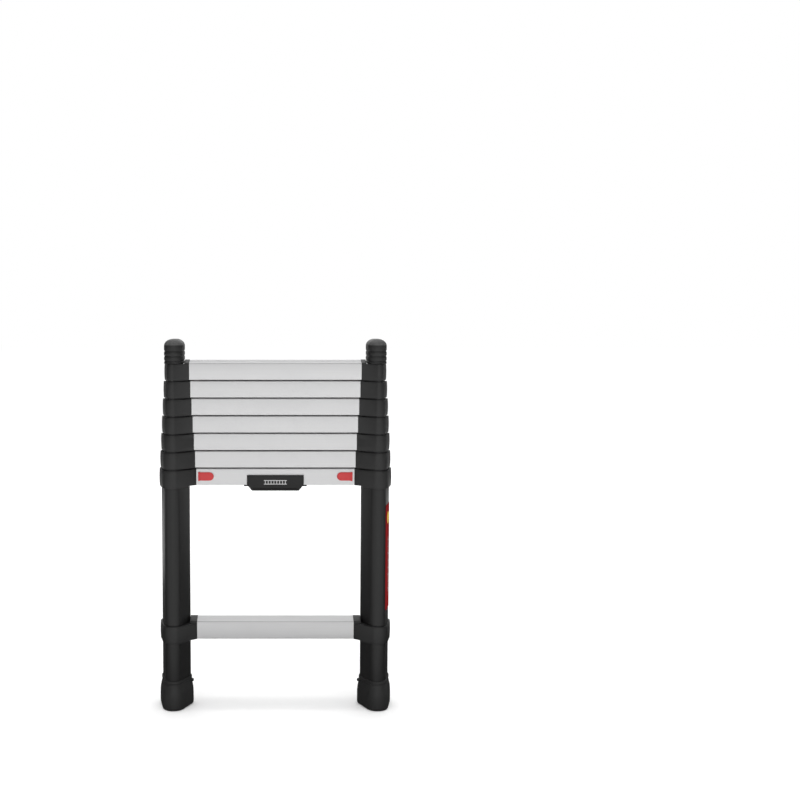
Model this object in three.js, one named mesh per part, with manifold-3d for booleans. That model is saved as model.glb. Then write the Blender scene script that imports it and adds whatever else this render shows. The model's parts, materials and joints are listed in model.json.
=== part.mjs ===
// Telescopic ladder, collapsed: eight pairs of stile tubes nested in one another, eight rungs stacked on
// the base section, rubber feet and end caps. Millimetres, +Z up, front of the ladder towards -Y.
import * as THREE from 'three';
import { mergeVertices } from 'three/addons/utils/BufferGeometryUtils.js';
import Module from 'manifold-3d';

const wasm = await Module();
wasm.setup();

// ---- driving dimensions -------------------------------------------------------------------------
const RUNG_SPACING = 300;          // rung to rung when a section is fully out
const STACK_PITCH = 33.8;          // rung to rung when collapsed
const TRAVEL = RUNG_SPACING - STACK_PITCH;
const SECTIONS = 8;

// A stile is a rounded triangle: three corner centres shared by all sections, and a corner radius that
// shrinks from one section to the next, so that the walls stay parallel.
const LEG_X = 194.6;               // leg axis from the middle of the ladder
const NOSE = [2.7, -17.3];         // front outer corner
const BACK = [10.5, 16.3];         // rear outer corner
const INNER = [-11.1, 7.9];        // corner that the rungs are fixed to
const STILE_RADIUS = 17;           // corner radius of the base stile
const STEP = 1.85;                 // smaller by this from one section to the next
const WALL = 1.2;
const CORNER_STEPS = 4;            // facets of one corner
const STILE_TAIL = 50;             // stile below its lock hole
const STILE_IN_CAP = 22;           // top of the last stile above its rung

const RUNG_HEIGHT = 31.9;
const RUNG_DEPTH = 25;
const RUNG_WALL = 1.8;
const RUNG_CORNER = 2;             // chamfer along the edges of a tread
const TREAD_SLOPE = Math.tan(THREE.MathUtils.degToRad(15));   // level when the ladder leans
const FIRST_RUNG_TOP = 168;
const FIRST_RUNG_HEIGHT = 34;
const RUNG_START = 152.5;          // end of rung 2 from the middle
const RUNG_START_STEP = 2.13;      // each rung above is longer by this at both ends

const COLLAR_LIP = 2.6;            // top of a collar, round the next section
const COLLAR_OVERHANG = 4.4;       // collar outside the stile it holds
const COLLAR_DROP = 1.5;           // top of a collar below the top of its rung
const COLLAR_LOW = 1;              // bottom of a collar below the bottom of its rung
const LOW_COLLAR_DROP = 4;         // the same, under rungs 1 and 2
const FIRST_COLLAR_DROP = 4;       // top of the first collar's ring below its rung
const SOCKET_GAP = 0.75;           // end of a collar's socket from the ring of the collar above
const FIRST_SOCKET_EXTRA = 3;      // socket of the first collar further into its ring
const CHEEK_DEPTH = 2.2;           // thickness of a collar's cheek, next to the rung's front face
const TONGUE_LENGTH = 14;          // collar inside the end of its hollow rung
const TONGUE_DEPTH = 9.5;          // underside of the tongue below the rung's top
const TONGUE_GAP = 0.4;            // tongue from the inside of the rung
const GAP = 0.3;                   // between pieces that touch
const SLIDE_GAP = 0.45;            // between a collar lip and the section that slides in it

const FOOT_HEIGHT = 56;
const FOOT_FLOOR = 8;
const TOE = 4;                     // foot further forward than the stile
const CAP_HEIGHT = 47.5;
const CAP_WIDTH = 36.4;
const CAP_LENGTH = 80;
const CAP_OUT = 0.5;               // cap centre, outwards of the leg axis
const CAP_FRONT = -25;
const CAP_POCKET = 28;
const CAP_GROOVES = [5.7, 15.1, 24.5];
const CAP_GROOVE = 1.2;            // depth, and half the width, of a groove round a cap
const CAP_DOME = 13;

const BUTTON_LENGTH = 29.8;
const BUTTON_HEIGHT = 16;
const BUTTON_THICK = 3;
const BUTTON_END = 4;              // button from the end of its rung
const BUTTON_TRAVEL = 8;
const RIDGE = 3.4;                 // thumb ridge along the button's outer end
const STEM_IN = 9;                 // stem from the button's outer end
const STEM_LENGTH = 9;
const STEM_HALF = 3.6;             // half the stem's height
const STEM_CLEAR = 0.9;            // slot wider than the stem, all round
const PIN_RADIUS = 2.5;
const PIN_CLEAR = 0.5;
const PIN_RAISED = 1;              // pins above the middle of the rung's front

const LEVER_LENGTH = 32;
const LEVER_WIDTH = 10;
const LEVER_DEPTH = 9.4;
const LEVER_END = 4.5;             // lever from the end of its rung
const LEVER_KNUCKLE = 1.6;         // lever inwards of its hinge
const LEVER_CLEAR = 0.6;           // slot beyond each side of the lever

const PLATE_WIDTH = 109.4;
const PLATE_HEIGHT = 30;
const PLATE_THICK = 4;
const PLATE_BELOW = 10.5;          // plate below the rung
const PLATE_CHAMFER = [9.6, 11.4]; // across, and up
const CLIP_HALF = 60.5;            // half the length of the clip that holds the plate under the rung
const CLIP_DEPTH = 21;
const CLIP_THICK = 1.6;

const LABEL_BOTTOM = 194;
const LABEL_TOP = 399;
const LABEL_THICK = 0.5;
const LABEL_WRAP = 20;             // degrees that the label reaches round each corner

// ---- places -------------------------------------------------------------------------------------
const rungFront = -RUNG_DEPTH / 2;
const rungBack = RUNG_DEPTH / 2;
const secondRungTop = FIRST_RUNG_TOP + RUNG_SPACING;
const stileRadius = (section) => STILE_RADIUS - STEP * (section - 1);
const rungTop = (rung) => (rung === 1 ? FIRST_RUNG_TOP : secondRungTop + STACK_PITCH * (rung - 2));
const rungHeight = (rung) => (rung === 1 ? FIRST_RUNG_HEIGHT : RUNG_HEIGHT);
const rungBottom = (rung) => rungTop(rung) - rungHeight(rung);
const rungStart = (rung) => RUNG_START + RUNG_START_STEP * Math.max(0, rung - 2);
const collarBottom = (rung) => rungBottom(rung) - (rung <= 2 ? LOW_COLLAR_DROP : COLLAR_LOW);
const collarTop = (rung) => rungTop(rung) - (rung === 1 ? FIRST_COLLAR_DROP : COLLAR_DROP);
const pinHeight = (rung) => rungBottom(rung) + RUNG_HEIGHT / 2 + PIN_RAISED;
const rise = (y) => (y - rungFront) * TREAD_SLOPE;

// ---- materials ----------------------------------------------------------------------------------
const material = (color, roughness, metalness) =>
  new THREE.MeshStandardMaterial({ color, roughness, metalness });
const anodised = material(0xcfd0d1, 0.35, 0.9);
const blackCoat = material(0x2b2b2c, 0.45, 0.3);
const plastic = material(0x343435, 0.6, 0);
const rubber = material(0x29292a, 0.8, 0);
const redPlastic = material(0xc8323a, 0.45, 0);
const plateBlack = material(0x161617, 0.4, 0);
const labelRed = material(0xc41a22, 0.5, 0);

// ---- geometry helpers ---------------------------------------------------------------------------
// Outline round a convex set of circles [x, y, radius], given anticlockwise, as corner arcs.
function hullOutline(circles, steps = CORNER_STEPS) {
  const normalTo = ([ax, ay, ar], [bx, by, br]) =>
    Math.atan2(by - ay, bx - ax) - Math.acos((ar - br) / Math.hypot(bx - ax, by - ay));
  const points = [];
  circles.forEach((circle, i) => {
    const before = circles[(i + circles.length - 1) % circles.length];
    const after = circles[(i + 1) % circles.length];
    const start = normalTo(before, circle);
    const turn = THREE.MathUtils.euclideanModulo(normalTo(circle, after) - start, 2 * Math.PI);
    const [x, y, radius] = circle;
    for (let k = 0; k <= steps; k += 1) {
      const angle = start + (turn * k) / steps;
      points.push(new THREE.Vector2(x + radius * Math.cos(angle), y + radius * Math.sin(angle)));
    }
  });
  return points;
}

const stileCircles = (radius) => [[...NOSE, radius], [...BACK, radius], [...INNER, radius]];
const stileOutline = (radius) => hullOutline(stileCircles(radius));

function prism(outline, bottom, top, hole = null) {
  const shape = new THREE.Shape(outline);
  if (hole) shape.holes.push(new THREE.Path(hole));
  const geometry = new THREE.ExtrudeGeometry(shape, { depth: top - bottom, bevelEnabled: false });
  return geometry.translate(0, 0, bottom);
}

// A prism along X, from an outline in Y (first) and Z (second).
function bar(outline, start, end, hole = null) {
  const geometry = prism(outline, 0, end - start, hole);
  const axes = new THREE.Matrix4().makeBasis(
    new THREE.Vector3(0, 1, 0), new THREE.Vector3(0, 0, 1), new THREE.Vector3(1, 0, 0));
  return geometry.applyMatrix4(axes).translate(start, 0, 0);
}

function box(x0, x1, y0, y1, z0, z1) {
  const geometry = new THREE.BoxGeometry(x1 - x0, y1 - y0, z1 - z0);
  return geometry.translate((x0 + x1) / 2, (y0 + y1) / 2, (z0 + z1) / 2);
}

function rodAlongX(radius, start, end, y, z, sides = 10) {
  const geometry = new THREE.CylinderGeometry(radius, radius, end - start, sides);
  return geometry.rotateZ(Math.PI / 2).translate((start + end) / 2, y, z);
}

// A closed solid through rings of points, bottom ring first, each ring anticlockwise.
function loft(rings) {
  const count = rings[0].length;
  const positions = rings.flat().flatMap((p) => [p.x, p.y, p.z]);
  const index = [];
  for (let r = 0; r + 1 < rings.length; r += 1) {
    for (let k = 0; k < count; k += 1) {
      const a = r * count + k;
      const b = r * count + ((k + 1) % count);
      index.push(a, b, b + count, a, b + count, a + count);
    }
  }
  const top = (rings.length - 1) * count;
  const cap = THREE.ShapeUtils.triangulateShape(rings[0].map((p) => new THREE.Vector2(p.x, p.y)), []);
  cap.forEach(([a, b, c]) => index.push(a, c, b, top + a, top + b, top + c));
  const geometry = new THREE.BufferGeometry();
  geometry.setAttribute('position', new THREE.Float32BufferAttribute(positions, 3));
  geometry.setIndex(index);
  return geometry;
}

// The same surface with only positions, and each vertex once.
function merged(geometry) {
  const bare = geometry.clone();
  bare.deleteAttribute('normal');
  bare.deleteAttribute('uv');
  return mergeVertices(bare, 1e-4);
}

function solid(geometry) {
  const mesh = merged(geometry);
  return new wasm.Manifold(new wasm.Mesh({
    numProp: 3,
    vertProperties: new Float32Array(mesh.attributes.position.array),
    triVerts: new Uint32Array(mesh.index.array),
  }));
}

// The first geometry with those in `added` joined to it and those in `removed` cut away.
function joined(first, added = [], removed = []) {
  let result = solid(first);
  added.forEach((geometry) => { result = result.add(solid(geometry)); });
  removed.forEach((geometry) => { result = result.subtract(solid(geometry)); });
  const mesh = result.getMesh();
  const geometry = new THREE.BufferGeometry();
  geometry.setAttribute('position', new THREE.Float32BufferAttribute(mesh.vertProperties, 3));
  geometry.setIndex([...mesh.triVerts]);
  geometry.computeVertexNormals();
  return geometry;
}

// The same solid for the other leg.
function mirrored(geometry) {
  const other = merged(geometry);
  other.scale(-1, 1, 1);
  const index = other.index.array;
  for (let k = 0; k < index.length; k += 3) {
    [index[k + 1], index[k + 2]] = [index[k + 2], index[k + 1]];
  }
  other.computeVertexNormals();
  return other;
}

function piece(name, geometry, look, x = 0, y = 0, z = 0) {
  const mesh = new THREE.Mesh(geometry, look.clone());
  mesh.name = name;
  mesh.position.set(x, y, z);
  return mesh;
}

// A right-hand piece, drawn from the leg axis, and its mirror image on the left leg.
const pair = (name, geometry, look, z = 0) => [
  piece(`${name}_right`, geometry, look, LEG_X, 0, z),
  piece(`${name}_left`, mirrored(geometry), look, -LEG_X, 0, z),
];

// ---- stiles -------------------------------------------------------------------------------------
const stileBottom = (section) =>
  (section === 1 ? FOOT_FLOOR + GAP : pinHeight(section) - TRAVEL - STILE_TAIL);
const stileTop = (section) =>
  (section === SECTIONS
    ? rungTop(SECTIONS) + STILE_IN_CAP
    : collarTop(section + 1) - COLLAR_LIP - GAP);

// One tube, with the hole in its inner corner that the lock pins of its rung go into.
function stile(section) {
  const radius = stileRadius(section);
  const tube = prism(stileOutline(radius), stileBottom(section), stileTop(section),
    stileOutline(radius - WALL));
  const holeAt = section === 1 ? pinHeight(2) : pinHeight(section) - TRAVEL;
  const inner = INNER[0] - radius;
  const hole = rodAlongX(PIN_RADIUS + PIN_CLEAR, inner - 3, INNER[0], INNER[1], holeAt);
  return joined(tube, [], [hole]);
}

// ---- rungs --------------------------------------------------------------------------------------
// The section of a rung in Y and Z: upright front and back, and a tread and underside that rise to the
// back. `inset` is measured inwards from every face.
function rungOutline(rung, inset = 0, corner = RUNG_CORNER) {
  const front = rungFront + inset;
  const back = rungBack - inset;
  const low = (y) => rungBottom(rung) + rise(y) + inset;
  const high = (y) => rungTop(rung) + rise(y) - inset;
  return [
    new THREE.Vector2(front, low(front)),
    new THREE.Vector2(back, low(back)),
    new THREE.Vector2(back, high(back) - corner),
    new THREE.Vector2(back - corner, high(back - corner)),
    new THREE.Vector2(front + corner, high(front + corner)),
    new THREE.Vector2(front, high(front) - corner),
  ];
}

// A slot in the front wall, in which the stem of a release button slides.
function buttonSlot(rung, side) {
  const outer = rungStart(rung) - BUTTON_END - STEM_IN + STEM_CLEAR;
  const inner = outer - STEM_LENGTH - BUTTON_TRAVEL - 2 * STEM_CLEAR;
  const z = pinHeight(rung);
  const half = STEM_HALF + STEM_CLEAR;
  const ends = [side * outer, side * inner].sort((a, b) => a - b);
  return box(ends[0], ends[1], rungFront - 1, rungFront + RUNG_WALL + 1, z - half, z + half);
}

// A slot in the bottom wall, round a release lever.
function leverSlot(rung, side) {
  const outer = rungStart(rung) - LEVER_END + 1;
  const inner = outer - LEVER_LENGTH - 2;
  const ends = [side * outer, side * inner].sort((a, b) => a - b);
  const half = LEVER_WIDTH / 2 + LEVER_CLEAR;
  return box(ends[0], ends[1], -half, half, rungBottom(rung) - 1, rungBottom(rung) + 8);
}

function rungBody(rung) {
  const end = rungStart(rung) - GAP;
  const tube = bar(rungOutline(rung), -end, end, rungOutline(rung, RUNG_WALL, 0.5));
  if (rung === 1) return tube;
  const slot = rung === 2 ? buttonSlot : leverSlot;
  return joined(tube, [], [slot(rung, 1), slot(rung, -1)]);
}

// ---- collars ------------------------------------------------------------------------------------
// Moulded piece that holds the end of a rung to the stile of the section below it. It is drawn from the
// leg axis: a ring round the stile, a socket that carries the rung's section on to the ring, a cheek that
// runs straight from the front of the rung to the ring's nose, and a tongue that plugs into the top of
// the hollow rung.
function collar(rung) {
  const section = Math.max(1, rung - 1);
  const radius = stileRadius(section);
  const start = rungStart(rung) - LEG_X;
  const bottom = collarBottom(rung);
  const top = collarTop(rung);
  const outside = radius + COLLAR_OVERHANG;
  const socketEnd = INNER[0] - (outside - STEP) - SOCKET_GAP;
  const corner = 1.5;
  const ring = prism(hullOutline([
    [...NOSE, outside],
    [...BACK, outside],
    [...INNER, outside],
    [socketEnd + corner / 2, rungFront + corner, corner],
  ]), bottom, top);
  const cheek = joined(prism(hullOutline([
    [...NOSE, outside],
    [start + corner, rungFront + corner, corner],
  ]), bottom, top), [], [box(start, outside, rungFront + CHEEK_DEPTH, outside, bottom - 1, top + 1)]);
  const socket = bar(rungOutline(rung), start, socketEnd + (rung === 1 ? FIRST_SOCKET_EXTRA : 0));
  const cavity = rungOutline(rung, RUNG_WALL + TONGUE_GAP, 0.5);
  const tongueBottom = rungTop(rung) - TONGUE_DEPTH;
  const tongueShape = cavity.map((p) => new THREE.Vector2(p.x, Math.max(p.y, tongueBottom)));
  const tongue = bar(tongueShape, start - TONGUE_LENGTH, start + 2);
  const cuts = [];
  if (rung === 1) {
    cuts.push(prism(stileOutline(radius + GAP), bottom - 20, top + 20));
  } else {
    cuts.push(prism(stileOutline(radius + GAP), bottom - 1, top - COLLAR_LIP));
    cuts.push(prism(stileOutline(radius - STEP + SLIDE_GAP), bottom - 1, top + 20));
    cuts.push(rodAlongX(PIN_RADIUS + PIN_CLEAR, start - 2, INNER[0], INNER[1], pinHeight(rung)));
  }
  return joined(ring, [cheek, socket, tongue], cuts);
}

// ---- feet and caps ------------------------------------------------------------------------------
// Rings of a foot: height, how far outside the stile, and how much of the toe.
const footRings = [
  [0, 3.6, 1],
  [2.5, 5.0, 1],
  [12, 5.3, 0.9],
  [32, 5.0, 0.6],
  [46, 2.2, 0.2],
  [49, 1.2, 0],
  [51, 1.9, 0],
  [FOOT_HEIGHT, 1.7, 0],
];

function foot() {
  const rings = footRings.map(([z, out, toe]) => hullOutline([
    [NOSE[0], NOSE[1] - TOE * toe, STILE_RADIUS + out],
    [...BACK, STILE_RADIUS + out],
    [...INNER, STILE_RADIUS + out],
  ]).map((p) => new THREE.Vector3(p.x, p.y, z)));
  return joined(loft(rings), [], [prism(stileOutline(STILE_RADIUS + GAP), FOOT_FLOOR, FOOT_HEIGHT + 1)]);
}

// Height and inset of the rings of an end cap: three grooves round it, then a dome.
function capRings() {
  const rings = [[0, 1], [1.5, 0]];
  CAP_GROOVES.forEach((z) => {
    rings.push([z - CAP_GROOVE, 0], [z, CAP_GROOVE], [z + CAP_GROOVE, 0]);
  });
  [0, 0.25, 0.5, 0.7, 0.86, 1].forEach((up) => {
    const inset = (1 - Math.sqrt(1 - (0.96 * up) ** 2)) * CAP_WIDTH / 2;
    rings.push([CAP_HEIGHT - CAP_DOME * (1 - up), inset]);
  });
  return rings;
}

function endCap() {
  const radius = CAP_WIDTH / 2;
  const front = CAP_FRONT + radius;
  const back = CAP_FRONT + CAP_LENGTH - radius;
  const rings = capRings().map(([z, inset]) => hullOutline([
    [CAP_OUT, front, radius - inset],
    [CAP_OUT, back, radius - inset],
  ], 8).map((p) => new THREE.Vector3(p.x, p.y, z)));
  const pocket = prism(stileOutline(stileRadius(SECTIONS) + GAP), -1, CAP_POCKET);
  return joined(loft(rings), [], [pocket]);
}

// ---- release buttons, levers, plate, label --------------------------------------------------------
// Thumb slide on the front of rung 2, right-hand, from the leg axis: a plate with a rounded inner end
// and a ridge, a stem through the slot in the rung, and the lock pin that it pulls.
function releaseButton() {
  const outer = rungStart(2) - LEG_X - BUTTON_END;
  const z = pinHeight(2);
  const half = BUTTON_HEIGHT / 2;
  const face = rungFront - GAP;
  const shape = new THREE.Shape();
  shape.moveTo(outer, -half);
  shape.lineTo(outer, half);
  shape.lineTo(outer - BUTTON_LENGTH + half, half);
  shape.absarc(outer - BUTTON_LENGTH + half, 0, half, Math.PI / 2, 1.5 * Math.PI, false);
  const plate = new THREE.ExtrudeGeometry(shape, {
    depth: BUTTON_THICK, bevelEnabled: false, curveSegments: 6,
  });
  plate.rotateX(Math.PI / 2).translate(0, face, z);
  const ridgeHalf = half + 0.7;
  const ridge = box(
    outer - RIDGE, outer, face - BUTTON_THICK - 1.4, face - 1, z - ridgeHalf, z + ridgeHalf);
  const stemEnd = outer - STEM_IN;
  const stem = box(stemEnd - STEM_LENGTH, stemEnd, face - 1, INNER[1] + 2.2, z - STEM_HALF, z + STEM_HALF);
  const tip = INNER[0] - stileRadius(2) - GAP;
  const pin = rodAlongX(PIN_RADIUS, stemEnd - 3, tip, INNER[1], z);
  return joined(plate, [ridge, stem, pin]);
}

// Wedge under the end of a rung, right-hand, drawn from its hinge at the inner end: deepest towards the
// stile, with an underside that slopes as the rung's does.
function releaseLever() {
  const shape = new THREE.Shape();
  const tip = LEVER_LENGTH - LEVER_KNUCKLE;
  shape.moveTo(-LEVER_KNUCKLE, 0);
  shape.lineTo(tip - 1, 0);
  shape.lineTo(tip, 1);
  shape.lineTo(tip, LEVER_DEPTH - 1.6);
  shape.lineTo(tip - 3.4, LEVER_DEPTH);
  shape.lineTo(1, 3.4);
  shape.lineTo(-LEVER_KNUCKLE, 2.4);
  const geometry = new THREE.ExtrudeGeometry(shape, { depth: LEVER_WIDTH, bevelEnabled: false });
  const slope = new THREE.Matrix4().set(1, 0, 0, 0, 0, 1, 0, 0, 0, TREAD_SLOPE, 1, 0, 0, 0, 0, 1);
  return geometry.rotateX(Math.PI / 2).translate(0, LEVER_WIDTH / 2, 0).applyMatrix4(slope);
}

// Plate on the lower front edge of rung 2, with a clip that follows the underside of the rung; bottom
// corners cut off.
function namePlate() {
  const half = PLATE_WIDTH / 2;
  const bottom = rungBottom(2) - PLATE_BELOW;
  const top = bottom + PLATE_HEIGHT;
  const [across, up] = PLATE_CHAMFER;
  const shape = new THREE.Shape();
  shape.moveTo(-half, top);
  shape.lineTo(-half, bottom + up);
  shape.lineTo(-half + across, bottom);
  shape.lineTo(half - across, bottom);
  shape.lineTo(half, bottom + up);
  shape.lineTo(half, top);
  const face = rungFront - GAP;
  const front = new THREE.ExtrudeGeometry(shape, { depth: PLATE_THICK, bevelEnabled: false });
  front.rotateX(Math.PI / 2).translate(0, face, 0);
  const under = (y) => rungBottom(2) + rise(y) - GAP;
  const clip = bar([
    new THREE.Vector2(face - 1, under(face - 1)),
    new THREE.Vector2(face - 1, under(face - 1) - CLIP_THICK),
    new THREE.Vector2(face + CLIP_DEPTH, under(face + CLIP_DEPTH) - CLIP_THICK),
    new THREE.Vector2(face + CLIP_DEPTH, under(face + CLIP_DEPTH)),
  ], -CLIP_HALF, CLIP_HALF);
  return joined(front, [clip]);
}

// Thin strip that follows the outer side of the base stile from corner to corner.
function sideLabel() {
  const side = Math.atan2(BACK[1] - NOSE[1], BACK[0] - NOSE[0]) - Math.PI / 2;
  const wrap = THREE.MathUtils.degToRad(LABEL_WRAP);
  const edge = (radius) => [[NOSE, side - wrap, side], [BACK, side, side + wrap]].flatMap(
    ([centre, from, to]) => [0, 0.5, 1].map((t) => {
      const angle = from + (to - from) * t;
      return new THREE.Vector2(centre[0] + radius * Math.cos(angle), centre[1] + radius * Math.sin(angle));
    }));
  const outline = [...edge(STILE_RADIUS + GAP + LABEL_THICK), ...edge(STILE_RADIUS + GAP).reverse()];
  return prism(outline, LABEL_BOTTOM, LABEL_TOP);
}

// ---- assembly -----------------------------------------------------------------------------------
function base() {
  const group = new THREE.Group();
  group.add(...pair('stile_1', stile(1), blackCoat));
  group.add(...pair('foot', foot(), rubber));
  [1, 2].forEach((rung) => {
    group.add(piece(`rung_${rung}`, rungBody(rung), anodised));
    group.add(...pair(`collar_${rung}`, collar(rung), plastic));
  });
  group.add(...pair('release_button', releaseButton(), redPlastic));
  group.add(piece('name_plate', namePlate(), plateBlack));
  group.add(piece('side_label', sideLabel(), labelRed, LEG_X));
  return group;
}

// A sliding section: two stiles, and at their top either a rung with its collars and levers, or caps.
function slidingSection(section) {
  const group = new THREE.Group();
  group.add(...pair(`stile_${section}`, stile(section), anodised));
  if (section === SECTIONS) {
    group.add(...pair('top_cap', endCap(), rubber, collarTop(SECTIONS) + GAP));
    return group;
  }
  const rung = section + 1;
  group.add(piece(`rung_${rung}`, rungBody(rung), anodised));
  group.add(...pair(`collar_${rung}`, collar(rung), plastic));
  const hinge = rungStart(rung) - LEVER_END - LEVER_LENGTH + LEVER_KNUCKLE;
  const level = rungBottom(rung) + rise(0) + GAP;
  group.add(piece(`release_lever_${rung}_right`, releaseLever(), redPlastic, hinge, 0, level));
  group.add(piece(`release_lever_${rung}_left`, mirrored(releaseLever()), redPlastic, -hinge, 0, level));
  return group;
}

const toeFront = NOSE[1] - TOE - STILE_RADIUS - footRings[1][1];
const capBack = CAP_FRONT + CAP_LENGTH;

const ladder = new THREE.Group();
ladder.add(base());
for (let section = 2; section <= SECTIONS; section += 1) ladder.add(slidingSection(section));
ladder.position.y = -(toeFront + capBack) / 2;

export default ladder;
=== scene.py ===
"""Telescopic ladder, collapsed: fine surfaces, finishes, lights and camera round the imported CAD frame.

Sizes are in millimetres, with the ladder's own axes: X across, -Y to the front, Z up. finished() turns
them into the metres of the frame. What belongs to a leg is drawn for the right-hand one, from the leg's
own axis, and mirrored for the left-hand one.
"""
import json
import math

import bmesh
import bpy
from mathutils import Matrix, Vector


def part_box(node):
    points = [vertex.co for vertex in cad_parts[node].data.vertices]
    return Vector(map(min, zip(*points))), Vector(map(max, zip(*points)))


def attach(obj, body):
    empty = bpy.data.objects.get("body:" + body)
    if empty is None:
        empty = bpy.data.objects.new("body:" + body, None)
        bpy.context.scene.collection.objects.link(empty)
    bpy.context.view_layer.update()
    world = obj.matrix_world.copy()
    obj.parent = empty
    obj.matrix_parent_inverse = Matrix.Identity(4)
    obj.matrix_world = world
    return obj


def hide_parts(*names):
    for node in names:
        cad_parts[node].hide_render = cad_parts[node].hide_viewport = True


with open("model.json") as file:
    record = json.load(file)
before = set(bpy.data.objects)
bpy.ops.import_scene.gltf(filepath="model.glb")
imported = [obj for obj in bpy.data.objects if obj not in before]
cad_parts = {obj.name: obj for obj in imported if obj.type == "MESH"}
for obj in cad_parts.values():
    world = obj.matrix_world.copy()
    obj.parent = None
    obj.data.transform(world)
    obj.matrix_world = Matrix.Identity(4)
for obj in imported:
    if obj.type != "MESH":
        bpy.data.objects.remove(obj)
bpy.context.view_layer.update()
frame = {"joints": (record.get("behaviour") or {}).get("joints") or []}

MM = 0.001
SIDES = ("right", "left")
SECTIONS = 8

# ---- sizes shared with the CAD model ---------------------------------------------------------------
NOSE = (2.7, -17.3)                # corner centres of a stile's section
BACK = (10.5, 16.3)
INNER = (-11.1, 7.9)
STILE_RADIUS = 17
STEP = 1.85                        # each section is smaller than the one below by this, all round
WALL = 1.2
GAP = 0.3
SLIDE_GAP = 0.45
PIN_RADIUS = 2.5
PIN_CLEAR = 0.5
PIN_RAISED = 1
RUNG_HEIGHT = 31.9
RUNG_WALL = 1.8
TREAD_SLOPE = math.tan(math.radians(15))
TREAD_CORNER = 2
COLLAR_OVERHANG = 4.4
COLLAR_LIP = 2.6
COLLAR_DROP = 1.5
FIRST_COLLAR_DROP = 4
BUTTON_END = 4
BUTTON_LENGTH = 29.8
BUTTON_HEIGHT = 16
BUTTON_THICK = 3
STEM_IN = 9                        # stem of a button from its outer end
STEM_LENGTH = 9
STEM_HALF = 3.6
STEM_CLEAR = 0.9
BUTTON_TRAVEL = 8
LEVER_END = 4.5
LEVER_LENGTH = 32
LEVER_WIDTH = 10
LEVER_DEPTH = 9.4
LEVER_KNUCKLE = 1.6
LEVER_CLEAR = 0.6
TONGUE_LENGTH = 14
TONGUE_DEPTH = 9.5
TONGUE_GAP = 0.4
SOCKET_GAP = 0.75
FIRST_SOCKET_EXTRA = 3
CAP_GROOVES = (5.7, 15.1, 24.5)
CAP_DOME = 13
CAP_POCKET = 28
CAP_OUT = 0.5
TOE = 4
FOOT_FLOOR = 8
LABEL_THICK = 0.5
LABEL_WRAP = 20

# ---- places, from the frame ------------------------------------------------------------------------
LADDER_Y = sum(corner.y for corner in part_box("rung_1")) / 2 / MM


def box(node):
    """Lowest and highest corner of a CAD node, in millimetres and the ladder's own axes."""
    low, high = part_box(node)
    shift = Vector((0, LADDER_Y, 0))
    return low / MM - shift, high / MM - shift


LEG_X = sum(corner.x for corner in box("top_cap_right")) / 2 - CAP_OUT
TRAVEL = next(j for j in frame["joints"] if j["name"] == "extend_2")["range_m"][1] / MM


def stile_radius(section):
    return STILE_RADIUS - STEP * (section - 1)


def rise(y):
    """Height of the sloping tread at y above its front edge."""
    return (y - box("rung_1")[0].y) * TREAD_SLOPE


def rung_ends(rung):
    """Bottom and top of a rung at its front edge, and the distance of its collar from the middle."""
    low, high = box(f"rung_{rung}")
    return low.z, high.z - rise(high.y - TREAD_CORNER), high.x + GAP


def pin_height(rung):
    low, _, _ = rung_ends(rung)
    return low + RUNG_HEIGHT / 2 + PIN_RAISED


def body_of_section(section):
    return "base" if section == 1 else f"section_{section}"


def body_of_rung(rung):
    return body_of_section(max(1, rung - 1))


# ---- meshes ----------------------------------------------------------------------------------------
def hull_outline(circles, steps=10):
    """Outline round a convex set of circles (x, y, radius), given anticlockwise."""
    def normal(a, b):
        away = math.hypot(b[0] - a[0], b[1] - a[1])
        return math.atan2(b[1] - a[1], b[0] - a[0]) - math.acos((a[2] - b[2]) / away)

    points = []
    for i, circle in enumerate(circles):
        start = normal(circles[i - 1], circle)
        turn = (normal(circle, circles[(i + 1) % len(circles)]) - start) % (2 * math.pi)
        for k in range(steps + 1):
            angle = start + turn * k / steps
            points.append((circle[0] + circle[2] * math.cos(angle), circle[1] + circle[2] * math.sin(angle)))
    return points


def stile_outline(radius, steps=10):
    return hull_outline([(*NOSE, radius), (*BACK, radius), (*INNER, radius)], steps)


def at_height(outline, z):
    return [(x, y, z) for x, y in outline]


def along_x(outline, x):
    return [(x, y, z) for y, z in outline]


def loft(rings, around=False):
    """A closed solid through rings of points. With around, the last ring joins the first one; otherwise
    the two end rings are filled."""
    bm = bmesh.new()
    made = [[bm.verts.new(p) for p in ring] for ring in rings]
    count = len(made[0])
    pairs = list(zip(made, made[1:])) + ([(made[-1], made[0])] if around else [])
    for a, b in pairs:
        for k in range(count):
            bm.faces.new((a[k], a[(k + 1) % count], b[(k + 1) % count], b[k]))
    if not around:
        bm.faces.new(made[0][::-1])
        bm.faces.new(made[-1])
    bmesh.ops.recalc_face_normals(bm, faces=bm.faces)
    return bm


def prism(outline, bottom, top):
    return loft([at_height(outline, bottom), at_height(outline, top)])


def block(x0, x1, y0, y1, z0, z1):
    return prism([(x0, y0), (x1, y0), (x1, y1), (x0, y1)], z0, z1)


def rod_along_x(radius, start, end, y, z, sides=24, round_end=0):
    turns = [2 * math.pi * k / sides for k in range(sides)]
    places = [(start, radius), (end, radius)]
    if round_end:
        places[1:] = [(end - round_end, radius), (end, radius - round_end)]
    return loft([[(x, y + r * math.cos(a), z + r * math.sin(a)) for a in turns] for x, r in places])


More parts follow.
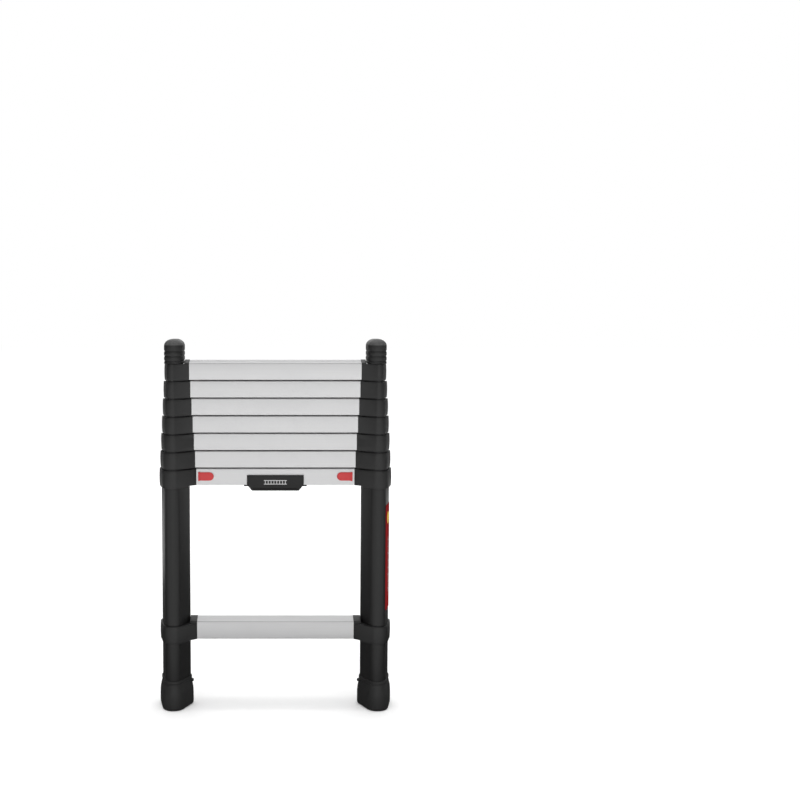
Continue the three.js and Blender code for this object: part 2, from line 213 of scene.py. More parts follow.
def combined(first, tool, operation="DIFFERENCE"):
    """first cut by, or joined with, the closed solid tool. Both are used up."""
    objects = []
    for source in (first, tool):
        mesh = bpy.data.meshes.new("work")
        source.to_mesh(mesh)
        source.free()
        objects.append(bpy.data.objects.new("work", mesh))
        bpy.context.collection.objects.link(objects[-1])
    modifier = objects[0].modifiers.new("work", "BOOLEAN")
    modifier.operation = operation
    modifier.solver = "EXACT"
    modifier.object = objects[1]
    result = bmesh.new()
    result.from_object(objects[0], bpy.context.evaluated_depsgraph_get())
    for obj in objects:
        mesh = obj.data
        bpy.data.objects.remove(obj)
        bpy.data.meshes.remove(mesh)
    bmesh.ops.remove_doubles(result, verts=result.verts, dist=1e-4)
    return result


def softened(bm, width, segments=3, sharper_than=30):
    """Rounds the edges that turn by more than an angle."""
    limit = math.radians(sharper_than)
    edges = [e for e in bm.edges if len(e.link_faces) == 2 and e.calc_face_angle() > limit]
    bmesh.ops.bevel(bm, geom=edges, offset=width, segments=segments, profile=0.5, affect="EDGES",
                    clamp_overlap=True)
    return bm


def finished(name, bm, body, look, stands_for=(), side=None, crease=32):
    """bm as a named piece in the frame: on its leg if it has a side, smooth up to the crease angle."""
    place = Matrix.Translation((0, LADDER_Y, 0))
    if side == "right":
        place = place @ Matrix.Translation((LEG_X, 0, 0))
    if side == "left":
        place = place @ Matrix.Scale(-1, 4, (1, 0, 0)) @ Matrix.Translation((LEG_X, 0, 0))
    bmesh.ops.transform(bm, matrix=Matrix.Scale(MM, 4) @ place, verts=bm.verts)
    bmesh.ops.recalc_face_normals(bm, faces=bm.faces)
    mesh = bpy.data.meshes.new(name)
    bm.to_mesh(mesh)
    bm.free()
    for polygon in mesh.polygons:
        polygon.use_smooth = True
    mesh.set_sharp_from_angle(angle=math.radians(crease))
    material, slot = look
    mesh.materials.append(material)
    piece = bpy.data.objects.new(name, mesh)
    bpy.context.collection.objects.link(piece)
    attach(piece, body)
    if stands_for:
        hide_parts(*stands_for)
    return piece


# ---- finishes --------------------------------------------------------------------------------------
class Finish:
    """A Principled material being built, with its texture coordinates in the metres of the frame."""

    def __init__(self, name, **sockets):
        self.material = bpy.data.materials.new(name)
        self.material.use_nodes = True
        self.tree = self.material.node_tree
        self.shader = self.tree.nodes["Principled BSDF"]
        self.place = self.node("ShaderNodeTexCoord").outputs["Object"]
        for socket, value in sockets.items():
            self.shader.inputs[socket.replace("_", " ")].default_value = value

    def node(self, kind, settings=None, **inputs):
        made = self.tree.nodes.new(kind)
        for key, value in (settings or {}).items():
            setattr(made, key, value)
        for key, value in inputs.items():
            socket = made.inputs[key.replace("_", " ")]
            if isinstance(value, bpy.types.NodeSocket):
                self.tree.links.new(value, socket)
            else:
                socket.default_value = value
        return made

    def grain(self, scale, detail=2, roughness=0.5, stretch=(1, 1, 1)):
        """Noise with so many spots per metre, drawn out along an axis by a stretch below 1."""
        place = self.node("ShaderNodeMapping", Vector=self.place, Scale=stretch).outputs["Vector"]
        return self.node("ShaderNodeTexNoise", Vector=place, Scale=scale, Detail=detail,
                         Roughness=roughness).outputs["Fac"]

    def spread(self, value, low, high, start=0.3, end=0.7):
        """A factor turned into numbers between low and high."""
        node = self.node("ShaderNodeMapRange", Value=value)
        for socket, number in zip(("From Min", "From Max", "To Min", "To Max"), (start, end, low, high)):
            node.inputs[socket].default_value = number
        return node.outputs["Result"]

    def blended(self, factor, first, second):
        """Colour between two colours, or colour outputs, by a factor."""
        node = self.node("ShaderNodeMix", {"data_type": "RGBA"})
        self.tree.links.new(factor, node.inputs[0])
        for socket, colour in ((node.inputs[6], first), (node.inputs[7], second)):
            if isinstance(colour, bpy.types.NodeSocket):
                self.tree.links.new(colour, socket)
            else:
                socket.default_value = colour
        return node.outputs[2]

    def drive(self, socket, value):
        self.tree.links.new(value, self.shader.inputs[socket])

    def bump(self, height, depth, strength=1.0):
        node = self.node("ShaderNodeBump", Height=height, Distance=depth, Strength=strength)
        self.drive("Normal", node.outputs["Normal"])


def grey(value, tint=(1, 1, 1)):
    return (value * tint[0], value * tint[1], value * tint[2], 1)


def aluminium(name, stretch):
    """Satin anodised extrusion: die lines along the profile, with faint clouding."""
    finish = Finish(name, Metallic=1.0)
    lines = finish.grain(900, 3, 0.6, stretch)
    clouds = finish.grain(14, 3, 0.5)
    tone = finish.blended(finish.spread(lines, 0, 1), grey(0.53), grey(0.575, (1, 1, 1.01)))
    tone = finish.blended(finish.spread(clouds, 0, 0.35), tone, grey(0.53, (1, 1, 1.01)))
    finish.drive("Base Color", tone)
    finish.drive("Roughness", finish.spread(lines, 0.38, 0.5))
    finish.bump(lines, 0.00004, 0.5)
    return finish.material


def black_coat():
    """Powder-coated stile: fine orange peel over faint die lines."""
    finish = Finish("black_coat", Specular_IOR_Level=0.32)
    peel = finish.grain(1500, 2)
    lines = finish.grain(500, 2, 0.5, (1, 1, 0.01))
    finish.drive("Base Color", finish.blended(finish.spread(lines, 0, 1), grey(0.010), grey(0.013)))
    finish.drive("Roughness", finish.spread(peel, 0.36, 0.46))
    finish.bump(peel, 0.00005, 0.5)
    return finish.material


def moulded(name, dark, light, rough, grain=2600, depth=0.00006, scuffs=0.5, worn_and_lit_top=None, **sockets):
    """Moulded plastic or rubber: even fine grain, slow changes of tone, and slightly paler rubbed spots.
    Above a height, given in millimetres with its two tones in the last argument, it is rubbed pale and
    pitted, and also painted paler to stand in for the light falling on it from above."""
    finish = Finish(name, **sockets)
    fine = finish.grain(grain, 2)
    slow = finish.grain(22, 3)
    rubbed = finish.grain(160, 4, 0.65)
    tone = finish.blended(finish.spread(slow, 0, 1), dark, light)
    paler = tuple(min(1, 1.35 * c) for c in light[:3]) + (1,)
    tone = finish.blended(finish.spread(rubbed, 0, scuffs, 0.55, 0.8), tone, paler)
    # painted highlight over real pitting: the top above the shoulder is made paler, as light from above
    # would make it
    if worn_and_lit_top:
        height, *tones = worn_and_lit_top
        up = finish.node("ShaderNodeSeparateXYZ", Vector=finish.place).outputs["Z"]
        top = finish.spread(up, 0, 1, height * MM - 0.0006, height * MM + 0.0012)
        pits_and_top_light = finish.blended(finish.spread(finish.grain(420, 3, 0.6), 0, 1), *tones)
        tone = finish.blended(top, tone, pits_and_top_light)
    finish.drive("Base Color", tone)
    finish.drive("Roughness", finish.spread(fine, rough - 0.05, rough + 0.06))
    finish.bump(fine, depth, 0.6)
    return finish.material


CAP_SHOULDER = box("top_cap_right")[1].z - CAP_DOME + 1
# cap dome top: rubbed, pitted rubber, painted paler as a painted highlight from the light above
WORN_AND_LIT_CAP_TOP = (CAP_SHOULDER, grey(0.050), grey(0.095))
LOOKS = {                          # material and slot of each look
    "rung": (aluminium("rung_aluminium", (0.012, 1, 1)), "anodised_aluminium"),
    "stile": (aluminium("stile_aluminium", (1, 1, 0.012)), "anodised_aluminium"),
    "coat": (black_coat(), "black_coated_stile"),
    "collar": (moulded("collar_plastic", grey(0.008), grey(0.0105), 0.48, Specular_IOR_Level=0.42),
               "collar_plastic"),
    "rubber": (moulded("rubber", grey(0.015), grey(0.019), 0.54, 1800, 0.0001, 0.7, Specular_IOR_Level=0.42),
               "rubber"),
    "cap": (moulded("cap_rubber", grey(0.008), grey(0.011), 0.54, 1800, 0.0001, 0.7, WORN_AND_LIT_CAP_TOP,
                    Specular_IOR_Level=0.42), "rubber"),
    "red": (moulded("red_plastic", (0.48, 0.019, 0.022, 1), (0.53, 0.023, 0.026, 1), 0.38, 2200, 0.00003,
                    0.2), "red_plastic"),
    "plate": (moulded("plate_plastic", grey(0.005), grey(0.007), 0.36, 2200, 0.00003, 0.2,
                      Specular_IOR_Level=0.28), "plate_plastic"),
    "film": (moulded("label_film", (0.22, 0.015, 0.016, 1), (0.25, 0.018, 0.019, 1), 0.4, 1200, 0.00002, 0.1,
                     Specular_IOR_Level=0.0), "label_film"),
    "white": (moulded("white_print", grey(0.62), grey(0.70), 0.4, 1500, 0.00002, 0.1), "label_film"),
    "pale": (moulded("pale_print", grey(0.26), grey(0.32), 0.5, 1500, 0.00002, 0.1,
                     Specular_IOR_Level=0.1), "label_film"),
    "yellow": (moulded("yellow_print", (0.78, 0.50, 0.02, 1), (0.84, 0.55, 0.03, 1), 0.5, 1500, 0.00002, 0.1,
                       Specular_IOR_Level=0.1), "label_film"),
    "pin": (moulded("pin_steel", grey(0.40), grey(0.45), 0.3, 1500, 0.00002, 0.1, Metallic=1.0),
            "anodised_aluminium"),
    "steel": (moulded("rivet_steel", grey(0.03), grey(0.045), 0.35, 1500, 0.00003, 0.3, Metallic=0.8),
              "rubber"),
}

# ---- stiles ----------------------------------------------------------------------------------------
EDGE = 0.35                        # broken edge at the ends of a tube


def stile(section):
    """One tube, with the hole that the lock pins of the rung below go into."""
    low, high = box(f"stile_{section}_right")
    bottom, top = low.z, high.z
    outer = stile_radius(section)
    inner = outer - WALL
    rings = [(outer - EDGE, bottom), (outer, bottom + EDGE), (outer, top - EDGE), (outer - EDGE, top),
             (inner + EDGE, top), (inner, top - EDGE), (inner, bottom + EDGE), (inner + EDGE, bottom)]
    bm = loft([at_height(stile_outline(radius, 12), z) for radius, z in rings], around=True)
    hole = pin_height(2) if section == 1 else pin_height(section) - TRAVEL
    x = INNER[0] - outer
    return combined(bm, rod_along_x(PIN_RADIUS + PIN_CLEAR, x - 3, INNER[0], INNER[1], hole))


# ---- rungs -----------------------------------------------------------------------------------------
FRONT_ROUND = 1.7                  # rounding of the tread's long edges
LOW_ROUND = 0.8
RIBS = 5
RIB_DEEP = 0.8
RIB_GROOVE = 1.3


def arc(cx, cy, radius, start, end, steps=5):
    angles = [math.radians(start + (end - start) * k / steps) for k in range(steps + 1)]
    return [(cx + radius * math.cos(a), cy + radius * math.sin(a)) for a in angles]


def rung_section(rung, grow=0.0, ribbed=True):
    """Outline in Y and Z of a rung, or of what is so much bigger all round: upright front and back, and
    a ribbed tread and an underside that rise to the back."""
    bottom, top, _ = rung_ends(rung)
    low, high = box(f"rung_{rung}")
    front, back, tall = low.y - grow, high.y + grow, top - bottom + 2 * grow
    edge, base = max(0.4, FRONT_ROUND + grow), max(0.3, LOW_ROUND + grow)
    points = arc(front + base, base, base, 180, 270) + arc(back - base, base, base, 270, 360)
    points += arc(back - edge, tall - edge, edge, 0, 90)
    if ribbed:
        start, end = back - edge - 0.6, front + edge + 0.6
        pitch = (end - start) / RIBS
        for k in range(1, RIBS):
            y = start + pitch * k
            half = RIB_GROOVE / 2
            points += [(y + half, tall), (y + half * 0.5, tall - RIB_DEEP * 0.8), (y, tall - RIB_DEEP),
                       (y - half * 0.5, tall - RIB_DEEP * 0.8), (y - half, tall)]
    points += arc(front + edge, tall - edge, edge, 90, 180)
    return [(y, bottom - grow + z + rise(y)) for y, z in points]


def bar(outline, start, end):
    return loft([along_x(outline, start), along_x(outline, end)])


def rung_bar(rung):
    bottom, _, start = rung_ends(rung)
    end = start - GAP
    bm = bar(rung_section(rung), -end, end)
    bm = combined(bm, bar(rung_section(rung, -RUNG_WALL, False), -end - 1, end + 1))
    for side in (1, -1):
        if rung == 2:
            outer, z = start - BUTTON_END - STEM_IN + STEM_CLEAR, pin_height(rung)
            inner = outer - STEM_LENGTH - BUTTON_TRAVEL - 2 * STEM_CLEAR
            x0, x1 = sorted((side * outer, side * inner))
            front, half = box("rung_2")[0].y, STEM_HALF + STEM_CLEAR
            bm = combined(bm, block(x0, x1, front - 1, front + RUNG_WALL + 1, z - half, z + half))
        if rung > 2:
            outer, half = start - LEVER_END + 1, LEVER_WIDTH / 2 + LEVER_CLEAR
            x0, x1 = sorted((side * outer, side * (outer - LEVER_LENGTH - 2)))
            bm = combined(bm, block(x0, x1, -half, half, bottom - 1, bottom + 8))
    return bm


# ---- collars ---------------------------------------------------------------------------------------
BARREL = 0.7                       # collar slimmer at its ends than in the middle
COLLAR_EDGE = 0.6                  # rounding of its ends
SOCKET_PROUD = 0.35                # socket bigger than the rung
CHEEK_PROUD = 0.5                  # cheek in front of the rung
CHEEK_DEPTH = 2.2
SEAM = 2.4                         # space between one collar and the next
NECK_WALL = 1.0                    # low neck on top of a collar, which fills that space


def ring_levels(bottom, top, steps=7):
    """Heights up a collar, closer together at its ends, with the barrel's and the edge's inset at each."""
    tall = top - bottom
    ends = [COLLAR_EDGE * (1 - math.cos(math.radians(a))) for a in (0, 30, 60, 90)]
    middle = [COLLAR_EDGE + (tall - 2 * COLLAR_EDGE) * k / steps for k in range(1, steps)]
    levels = []
    for up in ends + middle + [tall - e for e in reversed(ends)]:
        near = COLLAR_EDGE - min(up, tall - up, COLLAR_EDGE)
        edge = COLLAR_EDGE - math.sqrt(max(0, COLLAR_EDGE ** 2 - near ** 2))
        levels.append((bottom + up, BARREL * (2 * up / tall - 1) ** 2, edge))
    return levels


def collar(rung):
    """Moulded ring round the stile below a rung, with the socket that the rung's end goes up to and the
    tongue that goes into it."""
    rung_bottom, rung_top, start = rung_ends(rung)
    radius = stile_radius(max(1, rung - 1))
    outside = radius + COLLAR_OVERHANG
    start -= LEG_X
    bottom = box(f"collar_{rung}_right")[0].z
    top = rung_top - (FIRST_COLLAR_DROP if rung == 1 else COLLAR_DROP)
    socket_end = INNER[0] - (outside - STEP) - SOCKET_GAP
    front = box("rung_1")[0].y
    corner = 1.5
    rings, cheeks = [], []
    for z, barrel, edge in ring_levels(bottom, top):
        nose = (*NOSE, outside - barrel - edge)
        rings.append(at_height(hull_outline([
            nose,
            (*BACK, outside - barrel - edge),
            (*INNER, outside - barrel * 0.6 - edge),
            (socket_end + corner / 2, front + corner, corner - edge),
        ], 9), z))
        cheeks.append(at_height(hull_outline([
            nose, (start + corner, front - CHEEK_PROUD + corner, corner - edge)], 14), z))
    cheek = combined(loft(cheeks), block(start - 5, outside, front + CHEEK_DEPTH, 60, bottom - 1, top + 1))
    bm = combined(loft(rings), cheek, "UNION")
    into_ring = FIRST_SOCKET_EXTRA if rung == 1 else 0
    socket = bar(rung_section(rung, SOCKET_PROUD, False), start, socket_end + into_ring)
    bm = combined(bm, socket, "UNION")
    cavity = rung_section(rung, -RUNG_WALL - TONGUE_GAP, False)
    tongue = [(y, max(z, rung_top - TONGUE_DEPTH)) for y, z in cavity]
    bm = combined(bm, bar(tongue, start - TONGUE_LENGTH, start + 2), "UNION")
    if rung <= 2:
        under_socket = block(start - 1, INNER[0] - radius, -60, 60, bottom - 1, rung_bottom - SOCKET_PROUD)
        bm = combined(bm, under_socket)
    if rung == 1:
        return combined(bm, prism(stile_outline(radius + GAP), bottom - 20, top + 20))
    if rung < SECTIONS:
        neck_radius = radius - STEP + SLIDE_GAP + NECK_WALL
        neck = prism(hull_outline([(*NOSE, neck_radius), (*BACK, neck_radius), (*INNER, neck_radius),
                                   (socket_end + 0.6, front + 4, 1)]), top - 1, top + SEAM - GAP)
        bm = combined(bm, neck, "UNION")
    bm = combined(bm, prism(stile_outline(radius + GAP), bottom - 1, top - COLLAR_LIP))
    bm = combined(bm, prism(stile_outline(radius - STEP + SLIDE_GAP), bottom - 1, top + 20))
    pin = rod_along_x(PIN_RADIUS + PIN_CLEAR, start - 2, INNER[0], INNER[1], pin_height(rung))
    return combined(bm, pin)


# ---- feet and caps ---------------------------------------------------------------------------------
FOOT_RINGS = (                     # height, outside the stile, share of the toe
    (0, 2.6, 0.9), (0.8, 3.8, 1), (2.5, 5.0, 1), (6, 5.3, 0.98), (12, 5.3, 0.9), (20, 5.25, 0.77),
    (28, 5.05, 0.65), (34, 4.5, 0.52), (39.5, 3.5, 0.34), (44, 2.4, 0.2), (47.5, 1.6, 0.08), (49.2, 1.3, 0),
    (49.6, 1.7, 0), (50.3, 2.1, 0), (51.4, 2.2, 0), (54.6, 2.1, 0), (55.6, 1.8, 0), (56, 1.2, 0),
)


def foot():
    rings = []
    for z, out, toe in FOOT_RINGS:
        radius = STILE_RADIUS + out
        rings.append(at_height(hull_outline([
            (NOSE[0], NOSE[1] - TOE * toe, radius), (*BACK, radius), (*INNER, radius)], 12), z))
    top = FOOT_RINGS[-1][0]
    return combined(loft(rings), prism(stile_outline(STILE_RADIUS + GAP), FOOT_FLOOR, top + 1))


def foot_rivet():
    """Domed rivet on the inner side of a foot's top band."""
    x = INNER[0] - STILE_RADIUS
    turns = [2 * math.pi * k / 20 for k in range(20)]
    y, z = INNER[1] - 4, FOOT_RINGS[-1][0] - 8.5
    profile = ((1.0, 3.3), (-4.0, 3.3), (-4.9, 3.0), (-5.6, 2.2), (-6.0, 1.2), (-6.1, 0.3))
    return loft([[(x + dx, y + r * math.cos(a), z + r * math.sin(a)) for a in turns] for dx, r in profile])


def cap():
    """Rubber end cap, longer to the back than it is wide: three grooves round it, and a domed top."""
    low, high = box("top_cap_right")
    radius = (high.x - low.x) / 2
    middle = (high.x + low.x) / 2 - LEG_X
    tall = high.z - low.z
    levels = [(0, 1.2), (0.5, 0.5), (1.5, 0)]
    groove = ((-3.4, 0), (-1.7, 0.25), (-0.8, 0.8), (0, 1.15), (0.8, 0.8), (1.7, 0.25), (3.4, 0))
    levels += [(middle_z + z, inset) for middle_z in CAP_GROOVES for z, inset in groove]
    for k in range(13):
        up = math.sin(math.radians(7.5 * k))
        levels.append((tall - CAP_DOME * (1 - up), (1 - math.sqrt(1 - (0.96 * up) ** 2)) * radius))
    rings = [at_height(hull_outline([
        (middle, low.y + radius, radius - inset), (middle, high.y - radius, radius - inset)], 20), low.z + z)
        for z, inset in levels]
    pocket = prism(stile_outline(stile_radius(SECTIONS) + GAP), low.z - 1, low.z + CAP_POCKET)
    return combined(loft(rings), pocket)


# ---- release buttons, levers and lock pins ---------------------------------------------------------
PIN_LENGTH = 34
PIN_ROUND = 0.6                    # chamfer at a pin's tip


def pin_tip(rung):
    """End of a drawn-back pin, just clear of the tube that slides inside the rung's collar."""
    return INNER[0] - stile_radius(rung) - GAP


def button():
    """Thumb slide: plate with a rounded inner end and a ridge, the stem behind it, and the lock pin."""
    _, _, start = rung_ends(2)
    outer = start - LEG_X - BUTTON_END
    z, half = pin_height(2), BUTTON_HEIGHT / 2
    face = box("rung_2")[0].y - GAP
    centre = outer - BUTTON_LENGTH + half
    outline = [(outer, z - half), (outer, z + half)]
    outline += [(x, z + up) for x, up in arc(centre, 0, half, 90, 270, 14)]
    plate = loft([[(x, y, h) for x, h in outline] for y in (face, face - BUTTON_THICK)])
    plate = softened(plate, 0.9)
    tall = half + 0.7
    ridge = block(outer - 3.4, outer, face - BUTTON_THICK - 1.4, face - 0.4, z - tall, z + tall)
    bm = combined(plate, softened(ridge, 0.8), "UNION")
    stem_end = outer - STEM_IN
    stem = block(stem_end - STEM_LENGTH, stem_end, face - 1, INNER[1] + 2.2, z - STEM_HALF, z + STEM_HALF)
    bm = combined(bm, stem, "UNION")
    pin = rod_along_x(PIN_RADIUS, stem_end - 3, pin_tip(2), INNER[1], z, 24, PIN_ROUND)
    return combined(bm, pin, "UNION")


def lever(rung):
    """Red wedge under the end of a rung, deepest next to the stile, with an underside that slopes."""
    bottom, _, start = rung_ends(rung)
    hinge = start - LEVER_END - LEVER_LENGTH + LEVER_KNUCKLE - LEG_X
    level = bottom + rise(0) + GAP
    half, tip = LEVER_WIDTH / 2, LEVER_LENGTH - LEVER_KNUCKLE
    side = [(-LEVER_KNUCKLE, 0), (tip - 1, 0), (tip, 1), (tip, LEVER_DEPTH - 1.6), (tip - 3.4, LEVER_DEPTH),
            (1, 3.4), (-LEVER_KNUCKLE, 2.4)]
    bm = loft([[(hinge + x, y, level + z + y * TREAD_SLOPE) for x, z in side] for y in (-half, half)])
    return softened(bm, 0.7, 2)


def lock_pin(rung):
    """Pin in the end of a rung, drawn back clear of the tube that slides inside its collar."""
    tip = pin_tip(rung)
    return rod_along_x(PIN_RADIUS, tip - PIN_LENGTH, tip, INNER[1], pin_height(rung), 24, PIN_ROUND)


# ---- name plate and label --------------------------------------------------------------------------
PLATE_HALF = 54.7
PLATE_CHAMFER = (9.6, 11.4)
CLIP_THICK = 1.6
PLATE_BOW = 1.6                    # its face leans back below and a little above


def plate():
    low, high = box("name_plate")
    front, inner = low.y, box("rung_2")[0].y - GAP
    half, (across, up) = PLATE_HALF, PLATE_CHAMFER
    tall = high.z - low.z
    rows = []
    for k in range(13):
        z = low.z + tall * k / 12
        x = half - across * max(0, low.z + up - z) / up
        bow = PLATE_BOW * (1 - ((z - low.z) / tall - 0.7) ** 2 / 0.49)
        face = front + PLATE_BOW - bow
        rows.append([(-x, inner, z), (x, inner, z), (x, face, z), (-x, face, z)])
    body = softened(loft(rows), 0.8, 3, 50)
    lip_end = half - across - 0.6
    lip = block(-lip_end, lip_end, front - 0.9, front + 1, low.z + 0.2, low.z + 3.4)
    bm = combined(body, softened(lip, 0.8), "UNION")
    under, deep = rung_ends(2)[0] - GAP, high.y
    clip = [(inner - 1, under + rise(inner - 1)), (inner - 1, under + rise(inner - 1) - CLIP_THICK),
            (deep, under + rise(deep) - CLIP_THICK), (deep, under + rise(deep))]
    return combined(bm, softened(bar(clip, -high.x, high.x), 0.4, 2), "UNION")


def added(parts):
    """Separate solids as one mesh."""
    bm = bmesh.new()
    for part in parts:
        mesh = bpy.data.meshes.new("work")
        part.to_mesh(mesh)
        part.free()
        bm.from_mesh(mesh)
        bpy.data.meshes.remove(mesh)
    return bm


def plate_mark():
    """Generic mark: a ladder lying on its side, raised a little from the plate."""
    low, _ = box("name_plate")
    length, width, line, steps = 44, 7, 1.1, 8
    y, z, half = low.y, low.z + 16.5, line / 2
    bars = [(-length / 2, length / 2, z + s * width / 2 - half, z + s * width / 2 + half) for s in (-1, 1)]
    inside = width / 2 - half - 0.05
    for k in range(steps):
        x = length * ((k + 0.5) / steps - 0.5)
        bars.append((x - half, x + half, z - inside, z + inside))
    return added([softened(block(x0, x1, y - 0.18, y + 0.2, z0, z1), 0.12, 2) for x0, x1, z0, z1 in bars])


def label_point(across, z, lift):
    """A point of the label from its place across the outer side of the stile, 0 in the middle."""
    along = Vector((BACK[0] - NOSE[0], BACK[1] - NOSE[1]))
    flat = along.length
    side = math.atan2(along.y, along.x) - math.pi / 2
    radius = STILE_RADIUS + GAP + lift
    if abs(across) <= flat / 2:
        at = Vector(NOSE) + along * (across / flat + 0.5)
        angle = side
    else:
        at = Vector(BACK if across > 0 else NOSE)
        angle = side + (abs(across) - flat / 2) / radius * (1 if across > 0 else -1)
    return (at.x + radius * math.cos(angle), at.y + radius * math.sin(angle), z)


PRINT_THICK = 0.12


def strip(across, bottom, top, lift, thick, corner=0, steps=16):
    """A thin band over the outer side of the stile between two places across it."""
    rings = []
    for k in range(steps + 1):
        a = across[0] + (across[1] - across[0]) * k / steps
        cut = 0
        for edge in (a - across[0], across[1] - a):
            if edge < corner:
                cut = corner - math.sqrt(max(0, corner ** 2 - (corner - edge) ** 2))
        rings.append([label_point(a, bottom + cut, lift), label_point(a, top - cut, lift),
                      label_point(a, top - cut, lift + thick), label_point(a, bottom + cut, lift + thick)])
    return loft(rings)


def label():
    low, high = box("side_label")
    half = Vector((BACK[0] - NOSE[0], BACK[1] - NOSE[1])).length / 2
    half += math.radians(LABEL_WRAP) * (STILE_RADIUS + GAP)
    return strip((-half, half), low.z, high.z, 0, LABEL_THICK, 3, 40)


def label_mark():
    """Generic pale mark: an upright ladder."""
    low, _ = box("side_label")
    bottom, top, width, line, middle = low.z + 30, low.z + 140, 11, 1.5, 7
    parts = [strip((at - line / 2, at + line / 2), bottom, top, LABEL_THICK, PRINT_THICK, 0.6, 4)
             for at in (middle - width / 2, middle + width / 2)]
    inside = width / 2 - line / 2 - 0.05
    for k in range(8):
        z = bottom + (top - bottom) * (k + 0.5) / 8
        parts.append(strip((middle - inside, middle + inside), z - line / 2, z + line / 2, LABEL_THICK,
                           PRINT_THICK, 0, 6))
    return added(parts)


def label_dot():
    """Plain yellow disc at the top of the label."""
    _, high = box("side_label")
    centre, radius, steps = high.z - 27, 12, 40
    turns = [2 * math.pi * k / steps for k in range(steps)]
    return loft([[label_point(radius * math.cos(a), centre + radius * math.sin(a), lift) for a in turns]
                 for lift in (LABEL_THICK, LABEL_THICK + PRINT_THICK)])


# ---- the ladder ------------------------------------------------------------------------------------
def both(name, make, body, look, crease=32):
    for side in SIDES:
        finished(f"{name}_{side}_fine", make(), body, LOOKS[look], (f"{name}_{side}",), side, crease)


for section in range(1, SECTIONS + 1):
    look = "coat" if section == 1 else "stile"
    both(f"stile_{section}", lambda: stile(section), body_of_section(section), look, 25)
for rung in range(1, SECTIONS + 1):
    body = body_of_rung(rung)
    finished(f"rung_{rung}_fine", rung_bar(rung), body, LOOKS["rung"], (f"rung_{rung}",), None, 25)
    both(f"collar_{rung}", lambda: collar(rung), body, "collar", 32)
for rung in range(3, SECTIONS + 1):
    for side in SIDES:
        finished(f"release_lever_{rung}_{side}_fine", lever(rung), f"lever_{rung}_{side}", LOOKS["red"],
                 (f"release_lever_{rung}_{side}",), side)
        finished(f"lock_pin_{rung}_{side}", lock_pin(rung), body_of_rung(rung), LOOKS["pin"], (), side)
for side in SIDES:
    finished(f"release_button_{side}_fine", button(), f"button_{side}", LOOKS["red"],
             (f"release_button_{side}",), side)
    finished(f"foot_rivet_{side}", foot_rivet(), "base", LOOKS["steel"], (), side)
both("foot", foot, "base", "rubber", 50)
both("top_cap", cap, body_of_section(SECTIONS), "cap", 50)
finished("name_plate_fine", plate(), "base", LOOKS["plate"], ("name_plate",))
finished("name_plate_mark", plate_mark(), "base", LOOKS["white"])
finished("side_label_fine", label(), "base", LOOKS["film"], ("side_label",), "right")
finished("side_label_mark", label_mark(), "base", LOOKS["pale"], (), "right")
finished("side_label_dot", label_dot(), "base", LOOKS["yellow"], (), "right")

# ---- studio ----------------------------------------------------------------------------------------
scene = bpy.context.scene
FLOOR_HALF = 30                    # half the floor's side, in metres
FLOOR_STRIPS = (-FLOOR_HALF, -0.22, 1.0, 2.2, FLOOR_HALF)     # every other one shows in gloss


def floor():
    finish = Finish("floor", Roughness=0.8, Specular_IOR_Level=0.0, Emission_Color=(1, 1, 1, 1),
                    Emission_Strength=0.10)
    finish.drive("Base Color", finish.blended(finish.spread(finish.grain(3), 0, 1), grey(0.90), grey(0.92)))
    for number, (start, end) in enumerate(zip(FLOOR_STRIPS, FLOOR_STRIPS[1:])):
        bm = bmesh.new()
        corners = ((-FLOOR_HALF, start), (FLOOR_HALF, start), (FLOOR_HALF, end), (-FLOOR_HALF, end))
        bm.faces.new([bm.verts.new((x, y, 0)) for x, y in corners])
        mesh = bpy.data.meshes.new("floor")
        bm.to_mesh(mesh)
        bm.free()
        mesh.materials.append(finish.material)
        obj = bpy.data.objects.new(f"floor_{number}", mesh)
        bpy.context.collection.objects.link(obj)
        obj.visible_glossy = number % 2 == 0


def panel(name, place, aim, size, brightness, lights_diffuse=True):
    """Softbox of a width and height, in metres, as bright as so many times the white of the floor."""
    light = bpy.data.lights.new(name, "AREA")
    light.shape = "RECTANGLE"
    light.size, light.size_y = size
    light.energy = brightness * math.pi * size[0] * size[1]
    obj = bpy.data.objects.new(name, light)
    obj.location = place
    obj.rotation_euler = (Vector(aim) - Vector(place)).to_track_quat("-Z", "Y").to_euler()
    obj.visible_camera = False
    obj.visible_diffuse = lights_diffuse
    bpy.context.collection.objects.link(obj)


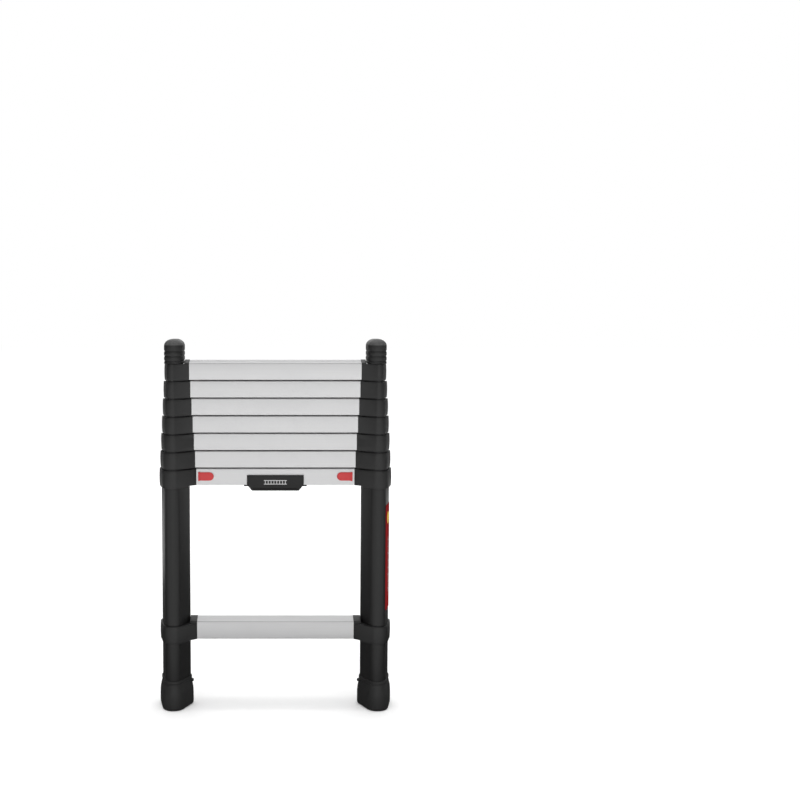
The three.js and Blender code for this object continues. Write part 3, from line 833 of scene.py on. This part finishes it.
def overhead(brightness, spread):
    """Light from straight above, even all over the floor: the share of the floor's white, and its angle."""
    light = bpy.data.lights.new("overhead", "SUN")
    light.energy = brightness * math.pi
    light.angle = math.radians(spread)
    obj = bpy.data.objects.new("overhead", light)
    obj.visible_glossy = False
    bpy.context.collection.objects.link(obj)


def surroundings(seen, scattered, mirrored):
    """White where the camera sees it, dimmer as a light, and dimmer still in reflections, where the
    softboxes are what shows."""
    world = bpy.data.worlds.new("studio")
    world.use_nodes = True
    tree = world.node_tree
    rays = tree.nodes.new("ShaderNodeLightPath")
    level = None
    for ray, low, high in (("Is Glossy Ray", scattered, mirrored), ("Is Camera Ray", None, seen)):
        node = tree.nodes.new("ShaderNodeMapRange")
        if level is None:
            node.inputs["To Min"].default_value = low
        else:
            tree.links.new(level, node.inputs["To Min"])
        node.inputs["To Max"].default_value = high
        tree.links.new(rays.outputs[ray], node.inputs["Value"])
        level = node.outputs["Result"]
    background = tree.nodes["Background"]
    background.inputs["Color"].default_value = (1, 1, 1, 1)
    tree.links.new(level, background.inputs["Strength"])
    scene.world = world


def camera():
    data = bpy.data.cameras.new("camera")
    data.sensor_width = 36
    data.lens = 36 * 1063.8 / 800
    data.shift_x = 0.1558
    obj = bpy.data.objects.new("camera", data)
    obj.location = (0, -2.052, 0.747)
    obj.rotation_euler = (math.radians(90 - 4.12), 0, 0)
    bpy.context.collection.objects.link(obj)
    scene.camera = obj


floor()
surroundings(1.0, 0.32, 0.07)
overhead(0.68, 24)
panel("top", (0, 0.4, 3.2), (0, 0, 0), (3.6, 3.0), 1.1, lights_diffuse=False)
panel("back_top", (0, 3.3, 2.7), (0, 0, 0.6), (3.6, 2.4), 1.65)
panel("back", (0, 4.6, 0.7), (0, 0, 0.5), (5.4, 1.6), 0.4)
panel("front", (0.3, -3.4, 1.45), (0, 0, 0.45), (4.6, 3.0), 1.0)
panel("side_right", (3.2, 1.5, 0.8), (0, 0, 0.4), (1.0, 2.2), 0.6)
camera()
scene.view_settings.view_transform = "Standard"
